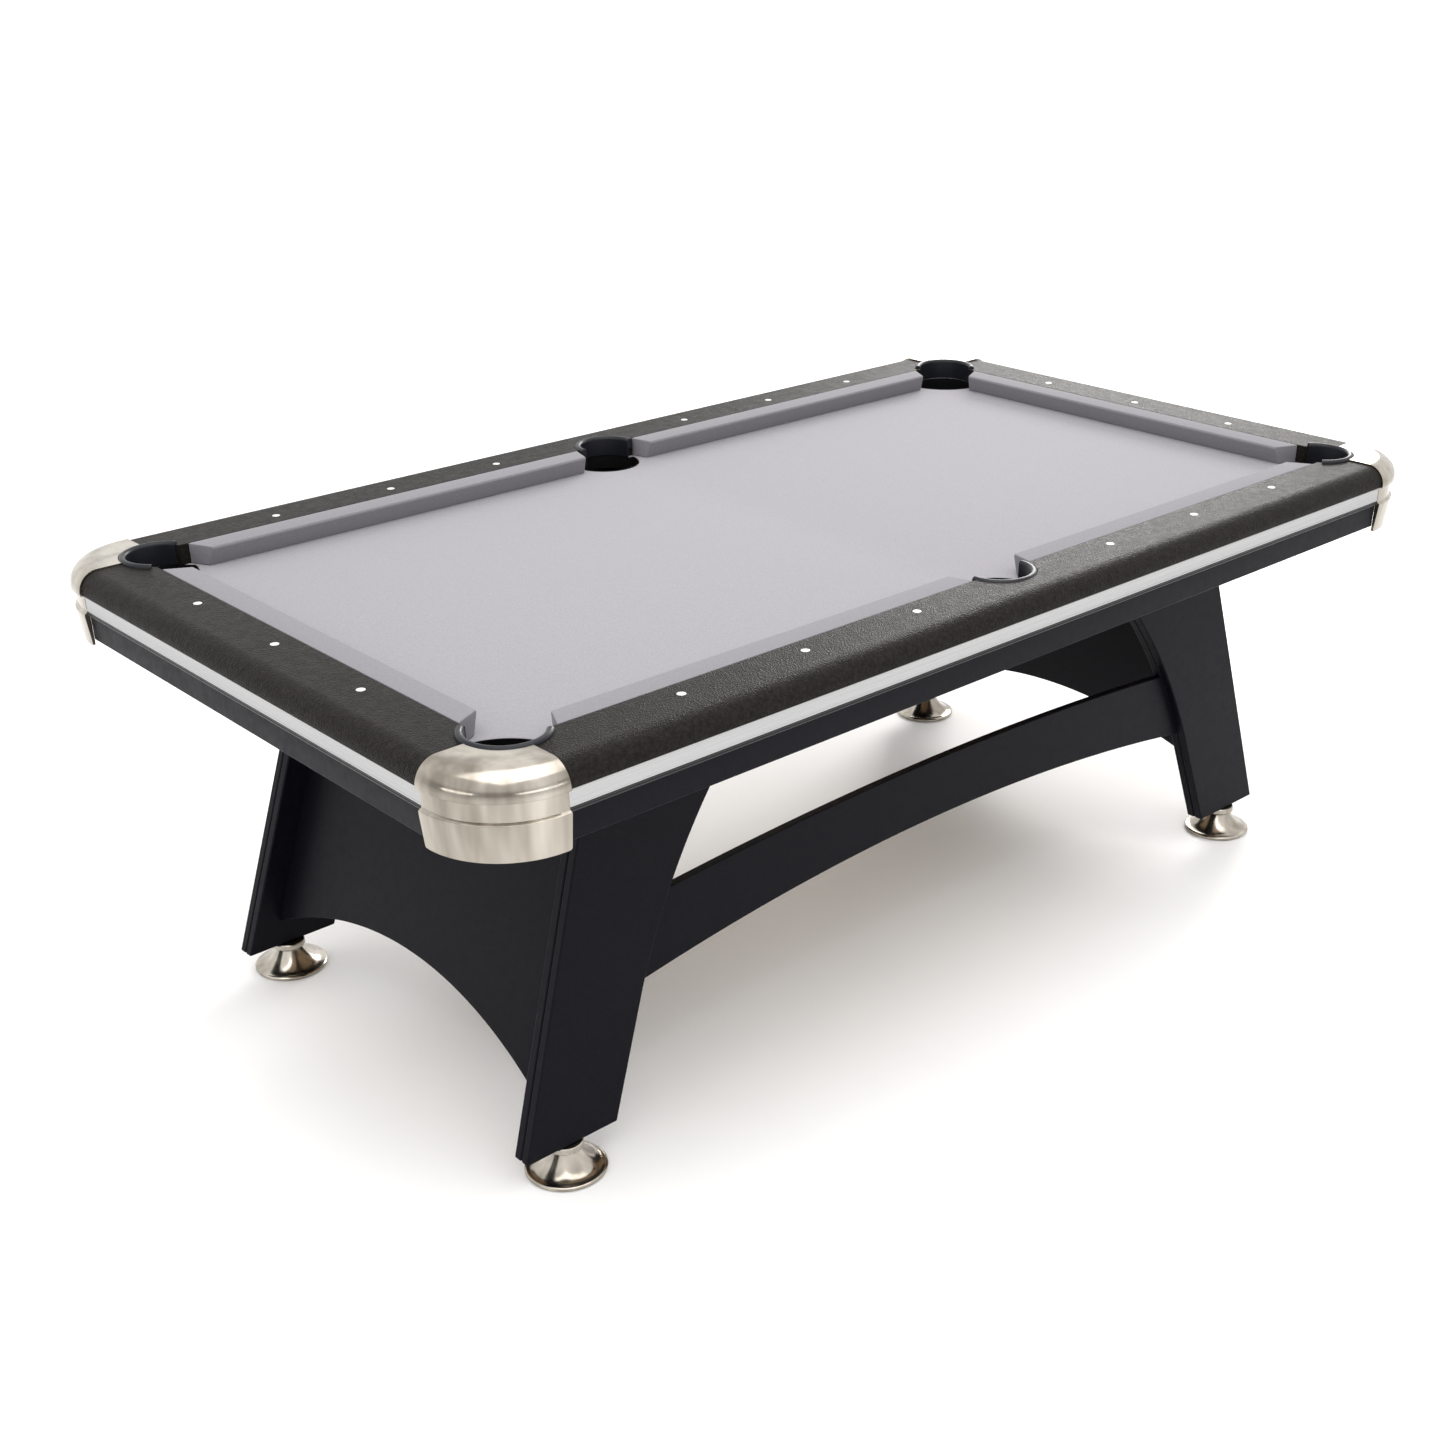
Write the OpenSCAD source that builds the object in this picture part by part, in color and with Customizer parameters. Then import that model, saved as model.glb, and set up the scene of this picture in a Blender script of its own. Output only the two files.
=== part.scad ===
// Free-standing pool table: a wooden cabinet and bed, six cloth-covered cushions,
// six drop pockets, metal corner castings, and splayed board legs on screw levellers.
// X runs along the table, Y across it and Z up from the floor, in millimetres.
// "near" is the -Y side, "left" is the -X end.
// Distances named *_in are measured inwards from the outer face of the metal strip.

/* [Table] */
// Length between the outer faces of the metal strips on the two ends
body_len = 2250; // [2200:10:2400]
// Width between the outer faces of the metal strips on the two sides
body_wid = 1288; // [1268:4:1340]
// Height of the playing surface above the floor
bed_top = 785; // [776:1:800]
// Thickness of the bed board under the cloth
bed_t = 25; // [19:1:30]

/* [Rails and cushions] */
// Height of the rail tops above the playing surface
rail_h = 36; // [34:1:38]
// Depth of a rail from the strip face to the cushion
rail_in = 112; // [108:1:116]
// Depth of a cushion from the rail to its nose
cushion_d = 46; // [44:1:48]
// Height of the cushion nose above the playing surface
nose_h = 34.5; // [33:0.5:35.5]
// Radius of the rounded outer edge of a rail
roll_r = 35; // [33:1:36]
// How far the rounded edge stands out past the strip
roll_out = 4; // [2:1:6]

/* [Pockets] */
// Distance in from both strip faces to a corner pocket's centre
corner_in = 142; // [140:1:144]
// Inner radius of a corner pocket's rim
corner_r = 56; // [54:1:57]
// Distance in from the strip face to a side pocket's centre
side_in = 119; // [117:1:121]
// Inner radius of a side pocket's rim
side_r = 52; // [50:1:53]
// Width of the padded rim around a pocket
rim_w = 12.5; // [11:0.5:13]
// Depth of a corner pocket's cup below the bed board
corner_cup_depth = 90; // [80:1:110]
// Depth of a side pocket's cup below the bed board
side_cup_depth = 78; // [70:1:95]

/* [Cabinet] */
// Height of the lower edge of the apron above the floor
apron_z = 705; // [700:1:712]
// Thickness of the apron boards
apron_t = 20; // [18:1:20]
// Height of the support beams under the bed
beam_h = 60; // [50:1:70]
// Length of each side of a corner casting
cast_len = 140; // [138:1:142]
// Height of the lower edge of a corner casting above the floor
cast_z = 694; // [690:1:698]

/* [Legs] */
// Height of the lower end of a leg above the floor
leg_z = 57; // [57:1:64]
// Thickness of a leg board
leg_t = 36; // [34:1:38]
// Distance from the table's middle to a leg's outer corner, along X
leg_x = 979; // [960:1:990]
// Distance from the table's middle to a leg's outer face at its foot, along Y
leg_y = 458; // [450:1:462]
// Run of a leg's outer edge along X for each millimetre of height
splay = 0.32; // [0.28:0.01:0.34]
// Lean of a leg out of the vertical, seen along X
lean = 4; // [3:0.5:5]
// Thickness of the end panels and stretchers
panel_t = 18; // [16:1:20]

/* [Levellers] */
// Radius of a foot's flange
foot_r = 68; // [60:1:70]
// Radius of a foot's screw
stud_r = 8; // [8:1:9]

/* [Hidden] */
$fn = 96;
hl = body_len / 2;
hw = body_wid / 2;
rail_top = bed_top + rail_h;
nose_z = bed_top + nose_h;
nose_in = rail_in + cushion_d;
cloth_t = 1.2;
board_top = bed_top - cloth_t;
board_z = board_top - bed_t;
roll_in = roll_r - roll_out;
roll_z = rail_top - roll_r;
big = 3000;

// metal strip and the trim bead under it
strip_t = 4;
strip_z = bed_top - 28;
strip_h = 26;
bead_z = strip_z - 8;
bead_h = 7.5;
bead_groove = 2;

// cushion ends, measured from the cabinet's corner or from the table's middle
corner_back = 208;
corner_nose = 231;
side_back = 70;
side_nose = 83;

// pocket rims
skirt_t = 2.5;
rim_z = rail_top - 17;
corner_crest = 6;
side_crest = 3;
corner_sweep = 192;
side_sweep = 184;
fit_gap = 0.2;

// holes through the bed: round at the back, with a wider mouth in front
hole_gap = 4;
corner_hole_in = corner_in + 3.5;
corner_mouth_in = corner_in - 31;
corner_mouth_r = 101.5;
side_mouth_in = side_in - 5;
side_mouth_r = side_r + 16;

// pocket cups, wide enough to lie under the whole of each hole
cup_t = 2.5;
cup_flange = 10;
corner_cup_r = corner_r + 20;
side_cup_r = side_r + 16;

// corner castings
cast_r = cast_len - 6;
cast_t = 4;
dome_r = roll_r + 3;
dome_out = dome_r - roll_in;
dome_z = roll_z;
lip_z = strip_z - 6;
tab_t = 3;
tab_bolts = [22, 42];
tab_bolt_z = apron_z + 27;

// support beams
beam_z = board_z - beam_h;
beam_y = 360;
beam_w = 50;
cross_x = 717;
cross_w = 45;

// legs: straight low down, then an arc that widens towards the top
arc_r = 1073;
arc_x = -284.5;
arc_z = -104;
arc_from_z = 260;
arc_from_x = arc_x + sqrt(arc_r * arc_r - pow(arc_from_z - arc_z, 2));
straight_run = 0.36;
groove = 3;
leg_inner_y = leg_y - leg_t / cos(lean);

// end panels and stretchers
panel_in = 50;
arch_r = 906;
arch_top = 212;
stretcher_top = 442;
stretcher_top_r = 8075;
stretcher_low = 331;
stretcher_low_r = 4514;

// levellers
foot_x = 890;
foot_y = 437;
neck_r = 24;
neck_z = 43.7;
collar_r = 31;
collar_z = 44;
insert_r = 11;
insert_len = 38;
stud_top = 94;
thread_gap = 0.05;

// sights and bolts
sight_in = 77;
sight_r = 7;
sight_t = 1.4;
sight_gap = (body_len - 2 * nose_in) / 8;
end_gap = (body_wid - 2 * nose_in) / 4;
rail_bolt_in = 82;
rail_bolt_r = 4;
rail_bolt_x = [230, 520, 810];
end_bolt_x = [-280, 0, 280];
bolt_r = 3;
head_r = 6.5;
head_h = 4.5;
leg_bolt_x = [520, 690];
leg_bolt_y = 396;

// ---- placing helpers ----

// Puts a piece at the corner (sx, sy), with x and y both running inwards.
module at_corner(sx, sy) {
    translate([sx * hl, sy * hw, 0])
        mirror([sx > 0 ? 1 : 0, 0, 0])
            mirror([0, sy > 0 ? 1 : 0, 0])
                children();
}

// Puts a piece on one side: x runs along it and y inwards from the strip face.
module on_side(side) {
    turn = side == "near" ? 0 : side == "far" ? 180 : side == "left" ? -90 : 90;
    reach = (side == "near" || side == "far") ? hw : hl;
    rotate([0, 0, turn])
        translate([0, -reach, 0])
            children();
}

// Mirrors the near left quarter into the quarter (sx, sy).
module in_quarter(sx, sy) {
    mirror([sx > 0 ? 1 : 0, 0, 0])
        mirror([0, sy > 0 ? 1 : 0, 0])
            children();
}

// Extrudes a section drawn as (inwards, up) along x, from x0 to x1.
module along(x0, x1) {
    translate([x0, 0, 0])
        rotate([90, 0, 90])
            linear_extrude(x1 - x0)
                children();
}

function half_of(side) = (side == "near" || side == "far") ? hl : hw;

// Bolt places along a rail, from its middle.
function bolts_of(side) = (side == "near" || side == "far")
    ? [for (sx = [-1, 1]) for (x = rail_bolt_x) sx * x]
    : end_bolt_x;

// Sight places along a rail, from its middle.
function sights_of(side) = (side == "near" || side == "far")
    ? [for (i = [-3, -2, -1, 1, 2, 3]) i * sight_gap]
    : [for (i = [-1, 0, 1]) i * end_gap];

// ---- bed ----

// Outline of a corner pocket's hole, drawn from the cabinet's corner.
module corner_hole() {
    translate([corner_hole_in, corner_hole_in])
        circle(r = corner_r + hole_gap);
    intersection() {
        translate([corner_mouth_in, corner_mouth_in])
            circle(r = corner_mouth_r);
        rotate([0, 0, 45])
            translate([sqrt(2) * corner_hole_in, -corner_r - hole_gap - 1])
                square([100, 2 * (corner_r + hole_gap + 1)]);
    }
}

// Outline of a side pocket's hole, with y inwards from the strip face.
module side_hole() {
    translate([0, side_in])
        circle(r = side_r + hole_gap);
    intersection() {
        translate([0, side_mouth_in])
            circle(r = side_mouth_r);
        translate([-100, side_in])
            square([200, 100]);
    }
}

module pocket_holes() {
    for (sx = [-1, 1])
        for (sy = [-1, 1])
            at_corner(sx, sy)
                linear_extrude(big)
                    corner_hole();
    for (side = ["near", "far"])
        on_side(side)
            linear_extrude(big)
                side_hole();
}

module bolt_row(side, r) {
    on_side(side)
        for (x = bolts_of(side))
            translate([x, rail_bolt_in, 0])
                cylinder(h = rail_top - 18, r = r);
}

// Outline of the bed, rounded at the corners to stay inside the castings.
module bed_outline() {
    edge = strip_t + apron_t + 0.5;
    square([2 * (hl - edge), 2 * (hw - cast_r)], center = true);
    square([2 * (hl - cast_r), 2 * (hw - edge)], center = true);
    for (sx = [-1, 1])
        for (sy = [-1, 1])
            translate([sx * (hl - cast_r), sy * (hw - cast_r)])
                circle(r = cast_r - edge);
}

module bed_sheet(z, t) {
    difference() {
        translate([0, 0, z])
            linear_extrude(t)
                bed_outline();
        pocket_holes();
        for (side = ["near", "far", "left", "right"])
            bolt_row(side, rail_bolt_r + 0.5);
    }
}

// One of the three bed boards, from x0 to x1. They meet over the cross beams.
module bed_board(x0, x1) {
    color("burlywood")
        intersection() {
            bed_sheet(board_z, bed_t);
            translate([x0 + fit_gap / 2, -hw, 0])
                cube([x1 - x0 - fit_gap, body_wid, big]);
        }
}

module bed_cloth() {
    color("lightslategray")
        bed_sheet(board_top, cloth_t);
}

// ---- rails ----

module rail_section() {
    translate([roll_in, roll_z])
        intersection() {
            circle(r = roll_r);
            translate([-roll_r, bed_top - roll_z])
                square([roll_r, rail_top - bed_top]);
        }
    translate([roll_in - 1, bed_top])
        square([rail_in - roll_in + 1, rail_h]);
}

// Space that a pocket's rim and skirt take out of the rails.
module rim_space(r, sweep) {
    translate([0, 0, bed_top - 1])
        cylinder(h = big, r = r + skirt_t + fit_gap);
    translate([0, 0, rim_z - fit_gap])
        rotate([0, 0, 225 - sweep / 2])
            rotate_extrude(angle = sweep)
                square([r + rim_w + fit_gap, big]);
}

module rim_spaces() {
    for (sx = [-1, 1])
        for (sy = [-1, 1])
            at_corner(sx, sy)
                translate([corner_in, corner_in, 0])
                    rim_space(corner_r, corner_sweep + 1);
    for (side = ["near", "far"])
        on_side(side)
            translate([0, side_in, 0])
                rotate([0, 0, 45])
                    rim_space(side_r, side_sweep + 1);
}

module rail(side) {
    reach = half_of(side) - cast_len - 0.3;
    color("dimgray")
        difference() {
            on_side(side)
                along(-reach, reach)
                    rail_section();
            rim_spaces();
            bolt_row(side, rail_bolt_r);
            on_side(side)
                for (x = sights_of(side))
                    translate([x, sight_in, rail_top - sight_t + 0.2])
                        cylinder(h = 10, r = sight_r + 0.05);
        }
}

module sights() {
    color("white")
        for (side = ["near", "far", "left", "right"])
            on_side(side)
                for (x = sights_of(side))
                    translate([x, sight_in, rail_top - sight_t + 0.2])
                        cylinder(h = sight_t, r = sight_r);
}

// ---- cushions ----

module cushion_section() {
    y0 = rail_in + fit_gap;
    z0 = bed_top + fit_gap;
    polygon([
        [y0, z0],
        [nose_in - 11, z0],
        [nose_in, nose_z - 3.5],
        [nose_in, nose_z - 1.5],
        [nose_in - 2.5, nose_z + 0.5],
        [y0, rail_top]
    ]);
}

// Cushion along x, from (back0, nose0) at one end to (back1, nose1) at the other.
module cushion(side, back0, nose0, back1, nose1) {
    color("silver")
        on_side(side)
            intersection() {
                along(-hl, hl)
                    cushion_section();
                linear_extrude(big)
                    polygon([
                        [back0, rail_in],
                        [nose0, nose_in],
                        [nose0, nose_in + 1],
                        [nose1, nose_in + 1],
                        [nose1, nose_in],
                        [back1, rail_in]
                    ]);
            }
}

module long_cushion(side, half) {
    back_end = hl - corner_back;
    nose_end = hl - corner_nose;
    if (half < 0)
        cushion(side, -back_end, -nose_end, -side_back, -side_nose);
    else
        cushion(side, side_back, side_nose, back_end, nose_end);
}

module end_cushion(side) {
    back_end = hw - corner_back;
    nose_end = hw - corner_nose;
    cushion(side, -back_end, -nose_end, back_end, nose_end);
}

// ---- pockets ----

// Padded rim with a thin skirt down to the bed, swept around the back of a pocket.
module pocket_rim(r, crest, sweep) {
    crest_r = rim_w / 2;
    crest_z = rail_top + crest - crest_r;
    color("black")
        rotate([0, 0, 225 - sweep / 2])
            rotate_extrude(angle = sweep)
                union() {
                    translate([r + crest_r, crest_z])
                        circle(r = crest_r);
                    translate([r, rim_z])
                        square([rim_w, crest_z - rim_z]);
                    translate([r, bed_top + fit_gap])
                        square([skirt_t, rim_z - bed_top]);
                }
}

module corner_rim(sx, sy) {
    at_corner(sx, sy)
        translate([corner_in, corner_in, 0])
            pocket_rim(corner_r, corner_crest, corner_sweep);
}

module side_rim(side) {
    on_side(side)
        translate([0, side_in, 0])
            rotate([0, 0, 45])
                pocket_rim(side_r, side_crest, side_sweep);
}

// Cup screwed under the bed board, open at the top.
module pocket_cup(r, cup_depth) {
    color("black")
        difference() {
            union() {
                translate([0, 0, board_z - 3])
                    cylinder(h = 3, r = r + cup_flange);
                translate([0, 0, board_z - cup_depth])
                    cylinder(h = cup_depth - 1, r = r + cup_t);
            }
            translate([0, 0, board_z - cup_depth + cup_t])
                cylinder(h = big, r = r);
        }
}

module corner_cup(sx, sy) {
    at_corner(sx, sy)
        translate([corner_hole_in, corner_hole_in, 0])
            pocket_cup(corner_cup_r, corner_cup_depth);
}

module side_cup(side) {
    on_side(side)
        translate([0, side_in, 0])
            pocket_cup(side_cup_r, side_cup_depth);
}

// ---- corner castings ----

// Wall of a casting as (distance from its corner axis, height).
module casting_section() {
    wall = cast_r - cast_t;
    polygon([
        [wall, cast_z],
        [cast_r - 3, cast_z],
        [cast_r + 1, cast_z + 4],
        [cast_r + 3, cast_z + 14],
        [cast_r + 5, lip_z - 3],
        [cast_r + 5, lip_z],
        [cast_r + 2, lip_z + 2],
        [cast_r, lip_z + 3],
        [cast_r, bed_top - 3],
        [cast_r + dome_out - 1, bed_top],
        [cast_r + dome_out - 1, bed_top + 3],
        [wall, bed_top + 3]
    ]);
    difference() {
        translate([cast_r + dome_out - dome_r, dome_z])
            intersection() {
                circle(r = dome_r);
                translate([0, bed_top - dome_z])
                    square([dome_r, 2 * dome_r]);
            }
        translate([cast_r + dome_out - dome_r, dome_z])
            circle(r = dome_r - cast_t);
        translate([0, 0])
            square([wall, bed_top + 2]);
    }
    translate([0, dome_z + dome_r - cast_t])
        square([cast_r + dome_out - dome_r + 1, cast_t]);
}

// Web and tab that reach behind the apron board, drawn along x.
module casting_tab() {
    back = strip_t + apron_t;
    difference() {
        union() {
            translate([cast_r - 5, cast_t - 1, apron_z + 7])
                cube([5, back + tab_t - cast_t + 1, 40]);
            translate([cast_r - 5, back + 0.1, apron_z + 7])
                cube([62, tab_t, 40]);
        }
        for (x = tab_bolts)
            translate([cast_r + x, 0, tab_bolt_z])
                rotate([-90, 0, 0])
                    cylinder(h = 50, r = bolt_r + 0.2);
    }
}

module corner_casting(sx, sy) {
    color("lightgray")
        at_corner(sx, sy)
            difference() {
                union() {
                    translate([cast_r, cast_r, 0]) {
                        rotate([0, 0, 180])
                            rotate_extrude(angle = 90)
                                casting_section();
                        rotate([90, 0, 0])
                            mirror([1, 0, 0])
                                translate([0, 0, cast_r - cast_len])
                                    linear_extrude(cast_len - cast_r)
                                        casting_section();
                        rotate([90, 0, 90])
                            mirror([1, 0, 0])
                                linear_extrude(cast_len - cast_r)
                                    casting_section();
                    }
                    casting_tab();
                    mirror([1, -1, 0])
                        casting_tab();
                }
                translate([corner_in, corner_in, rim_z - fit_gap])
                    cylinder(h = big, r = corner_r + rim_w + fit_gap);
            }
}

// ---- strips, beads and aprons ----

module strip(side) {
    reach = half_of(side) - cast_len - 0.5;
    color("silver")
        on_side(side)
            translate([-reach, 0, strip_z])
                cube([2 * reach, strip_t, strip_h]);
}

module trim_beads() {
    color("darkslategray")
        for (side = ["near", "far", "left", "right"]) {
            reach = half_of(side) - cast_len - 0.5;
            on_side(side)
                difference() {
                    translate([-reach, 0.5, bead_z])
                        cube([2 * reach, strip_t - 0.5, bead_h]);
                    translate([-big, 0, bead_z + (bead_h - bead_groove) / 2])
                        cube([2 * big, 2, bead_groove]);
                }
        }
}

// Blind holes for the bolts that hold a casting's tabs.
module apron_bolt_holes(side) {
    reach = half_of(side) - cast_r;
    on_side(side)
        for (end = [-1, 1])
            for (x = tab_bolts)
                translate([end * (reach - x), strip_t + 6, tab_bolt_z])
                    rotate([-90, 0, 0])
                        cylinder(h = apron_t, r = bolt_r);
}

module apron(side) {
    reach = half_of(side) - cast_len - 0.5;
    color("darkslategray")
        difference() {
            on_side(side)
                translate([-reach, strip_t, apron_z])
                    cube([2 * reach, apron_t, board_top - apron_z]);
            apron_bolt_holes(side);
        }
}

// ---- support beams ----

module long_beams() {
    reach = hl - strip_t - apron_t - 0.5;
    color("tan")
        for (side = ["near", "far"])
            on_side(side)
                difference() {
                    translate([-reach, hw - beam_y - beam_w, beam_z])
                        cube([2 * reach, beam_w, beam_h]);
                    for (sx = [-1, 1])
                        for (x = leg_bolt_x) {
                            translate([sx * x, hw - leg_bolt_y, 0])
                                cylinder(h = big, r = bolt_r);
                            translate([sx * x, hw - leg_bolt_y, board_z - head_h - 1])
                                cylinder(h = big, r = head_r + 2);
                        }
                }
}

module cross_beams() {
    color("tan")
        for (x = [-cross_x, 0, cross_x])
            translate([x - cross_w / 2, -beam_y + fit_gap, beam_z])
                cube([cross_w, 2 * (beam_y - fit_gap), beam_h]);
}

// ---- legs ----

// Outline of a near left leg, drawn as (x towards the right, height).
module leg_outline() {
    low = leg_z - 10;
    high = beam_z + 10;
    difference() {
        polygon([
            [-leg_x - splay * (leg_z - low), low],
            [-leg_x + splay * (high - leg_z), high],
            [0, high],
            [0, low]
        ]);
        translate([-arc_x, arc_z])
            circle(r = arc_r, $fn = 360);
        polygon([
            [-arc_from_x, arc_from_z],
            [-arc_from_x - straight_run * (arc_from_z - low + 5), low - 5],
            [10, low - 5],
            [10, arc_from_z]
        ]);
    }
}

// Leans a board drawn in (x, height) so that its outer face stands at leg_y.
module leaning(back, t) {
    translate([0, -leg_y, leg_z])
        rotate([-lean, 0, 0])
            translate([0, back + t, -leg_z])
                rotate([90, 0, 0])
                    linear_extrude(t)
                        children();
}

// Slice between the foot of the legs and the underside of the beams.
module leg_slice() {
    translate([-big / 2, -big / 2, leg_z])
        cube([big, big, beam_z - leg_z]);
}

// Groove down the outer edge, where the two layers of a leg meet.
module leg_groove() {
    translate([0, -leg_y, leg_z])
        rotate([-lean, 0, 0])
            translate([-leg_x, leg_t / 2 - groove / 2, 0])
                rotate([0, atan(splay), 0])
                    translate([-groove, 0, -50])
                        cube([2 * groove, groove, 1000]);
}

module leg(sx, sy) {
    color("darkslategray")
        in_quarter(sx, sy)
            difference() {
                intersection() {
                    leaning(0, leg_t)
                        leg_outline();
                    leg_slice();
                }
                leg_groove();
                translate([-foot_x, -foot_y, leg_z - 1])
                    cylinder(h = insert_len + 6, r = insert_r + 0.1);
                for (x = leg_bolt_x)
                    translate([-x, -leg_bolt_y, beam_z - 45])
                        cylinder(h = 100, r = bolt_r);
            }
}

module end_panel(sx) {
    foot_edge = -leg_x + panel_in;
    rise = beam_z - leg_z;
    inner_top = leg_inner_y - rise * tan(lean) - fit_gap;
    inner_low = leg_inner_y - fit_gap;
    color("darkslategray")
        mirror([sx > 0 ? 1 : 0, 0, 0])
            difference() {
                intersection() {
                    translate([0, leg_y, 0])
                        rotate([90, 0, 0])
                            linear_extrude(2 * leg_y)
                                polygon([
                                    [foot_edge, leg_z],
                                    [foot_edge + panel_t, leg_z],
                                    [foot_edge + panel_t + splay * rise, beam_z],
                                    [foot_edge + splay * rise, beam_z]
                                ]);
                    rotate([90, 0, 90])
                        translate([0, 0, -hl])
                            linear_extrude(hl)
                                polygon([
                                    [-inner_low, leg_z],
                                    [inner_low, leg_z],
                                    [inner_top, beam_z],
                                    [-inner_top, beam_z]
                                ]);
                }
                translate([-hl, 0, arch_top - arch_r])
                    rotate([0, 90, 0])
                        cylinder(h = hl, r = arch_r, $fn = 360);
            }
}

// Arched area of a stretcher before the legs' edges trim its ends.
module stretcher_arch() {
    end_x = arc_from_x + 30;
    difference() {
        intersection() {
            translate([-end_x, leg_z])
                square([2 * end_x, 600]);
            translate([0, stretcher_top - stretcher_top_r])
                circle(r = stretcher_top_r, $fn = 720);
        }
        translate([0, stretcher_low - stretcher_low_r])
            circle(r = stretcher_low_r, $fn = 720);
    }
}

// Arched board in line with the inner layers of two legs.
module stretcher(sy) {
    color("darkslategray")
        mirror([0, sy > 0 ? 1 : 0, 0])
            leaning(leg_t / 2, panel_t)
                difference() {
                    stretcher_arch();
                    leg_outline();
                    mirror([1, 0])
                        leg_outline();
                }
}

// ---- bolts and threaded inserts ----

module bolt(length, r, head) {
    cylinder(h = length, r = r);
    translate([0, 0, -head_h])
        cylinder(h = head_h, r = head, $fn = 6);
}

// Bolts that hold the rails down through the bed.
module rail_bolts() {
    for (side = ["near", "far", "left", "right"])
        on_side(side)
            for (x = bolts_of(side))
                translate([x, rail_bolt_in, board_z])
                    bolt(rail_top - 20 - board_z, rail_bolt_r - 0.02, head_r + 1);
}

// Bolts that hold the castings' tabs to the aprons.
module casting_bolts() {
    back = strip_t + apron_t + tab_t + 0.1;
    for (sx = [-1, 1])
        for (sy = [-1, 1])
            at_corner(sx, sy)
                for (flip = [0, 1])
                    mirror([flip, -flip, 0])
                        for (x = tab_bolts)
                            translate([cast_r + x, back, tab_bolt_z])
                                rotate([90, 0, 0])
                                    bolt(back - strip_t - 7, bolt_r - 0.02, head_r);
}

// Bolts that hold the legs to the long beams.
module leg_bolts() {
    for (sx = [-1, 1])
        for (sy = [-1, 1])
            in_quarter(sx, sy)
                for (x = leg_bolt_x)
                    translate([-x, -leg_bolt_y, board_z - head_h - 1])
                        mirror([0, 0, 1])
                            bolt(beam_h + 34, bolt_r - 0.02, head_r);
}

module bolts() {
    color("gray") {
        rail_bolts();
        casting_bolts();
        leg_bolts();
    }
}

module threaded_inserts() {
    color("gray")
        for (sx = [-1, 1])
            for (sy = [-1, 1])
                in_quarter(sx, sy)
                    translate([-foot_x, -foot_y, leg_z])
                        difference() {
                            cylinder(h = insert_len, r = insert_r);
                            translate([0, 0, -1])
                                cylinder(h = insert_len + 2, r = stud_r);
                        }
}

// ---- levellers ----

// Bell-shaped foot in one piece with its screw.
module foot(sx, sy) {
    curve_r = 62;
    color("silver")
        in_quarter(sx, sy)
            translate([-foot_x, -foot_y, 0]) {
                rotate_extrude()
                    union() {
                        difference() {
                            polygon([
                                [0, 0],
                                [foot_r - 2, 0],
                                [foot_r, 2],
                                [foot_r, 5],
                                [foot_r - 2, 7],
                                [neck_r, neck_z],
                                [0, neck_z]
                            ]);
                            translate([foot_r + 12, neck_z + 26])
                                circle(r = curve_r);
                        }
                    }
                cylinder(h = stud_top, r = stud_r - thread_gap);
            }
}

module collar(sx, sy) {
    color("silver")
        in_quarter(sx, sy)
            translate([-foot_x, -foot_y, collar_z])
                rotate_extrude()
                    polygon([
                        [stud_r, 0],
                        [collar_r - 3, 0],
                        [collar_r, 3],
                        [collar_r, leg_z - collar_z - 2.3],
                        [collar_r - 2, leg_z - collar_z - 0.3],
                        [stud_r, leg_z - collar_z - 0.3]
                    ]);
}

// ---- the table ----

bed_board(-hl, -cross_x);  // left_bed_board
bed_board(-cross_x, cross_x);  // middle_bed_board
bed_board(cross_x, hl);  // right_bed_board
bed_cloth();
rail("near");  // near_rail
rail("far");  // far_rail
rail("left");  // left_rail
rail("right");  // right_rail
long_cushion("near", -1);  // near_left_cushion
long_cushion("near", 1);  // near_right_cushion
long_cushion("far", 1);  // far_left_cushion
long_cushion("far", -1);  // far_right_cushion
end_cushion("left");  // left_cushion
end_cushion("right");  // right_cushion
corner_rim(-1, -1);  // near_left_pocket_rim
corner_rim(1, -1);  // near_right_pocket_rim
corner_rim(-1, 1);  // far_left_pocket_rim
corner_rim(1, 1);  // far_right_pocket_rim
side_rim("near");  // near_side_pocket_rim
side_rim("far");  // far_side_pocket_rim
corner_cup(-1, -1);  // near_left_pocket_cup
corner_cup(1, -1);  // near_right_pocket_cup
corner_cup(-1, 1);  // far_left_pocket_cup
corner_cup(1, 1);  // far_right_pocket_cup
side_cup("near");  // near_side_pocket_cup
side_cup("far");  // far_side_pocket_cup
corner_casting(-1, -1);  // near_left_casting
corner_casting(1, -1);  // near_right_casting
corner_casting(-1, 1);  // far_left_casting
corner_casting(1, 1);  // far_right_casting
strip("near");  // near_strip
strip("far");  // far_strip
strip("left");  // left_strip
strip("right");  // right_strip
apron("near");  // near_apron
apron("far");  // far_apron
apron("left");  // left_apron
apron("right");  // right_apron
trim_beads();
sights();
long_beams();
cross_beams();
leg(-1, -1);  // near_left_leg
leg(1, -1);  // near_right_leg
leg(-1, 1);  // far_left_leg
leg(1, 1);  // far_right_leg
end_panel(-1);  // left_end_panel
end_panel(1);  // right_end_panel
stretcher(-1);  // near_stretcher
stretcher(1);  // far_stretcher
bolts();
threaded_inserts();
collar(-1, -1);  // near_left_collar
collar(1, -1);  // near_right_collar
collar(-1, 1);  // far_left_collar
collar(1, 1);  // far_right_collar
foot(-1, -1);  // near_left_foot
foot(1, -1);  // near_right_foot
foot(-1, 1);  // far_left_foot
foot(1, 1);  // far_right_foot
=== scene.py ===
"""Looks for the pool table, in the CAD's frame.

The pieces that show are rebuilt as finished meshes. Those inside keep their CAD meshes.
Lengths are in millimetres until a mesh is made, and in metres from there on.
Along a side, x runs along it and s runs inwards from the metal strip's outer face.
At a corner, u and v both run inwards from the two strip faces.
"""

import math

import bmesh
import bpy
from mathutils import Matrix, Vector


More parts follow.
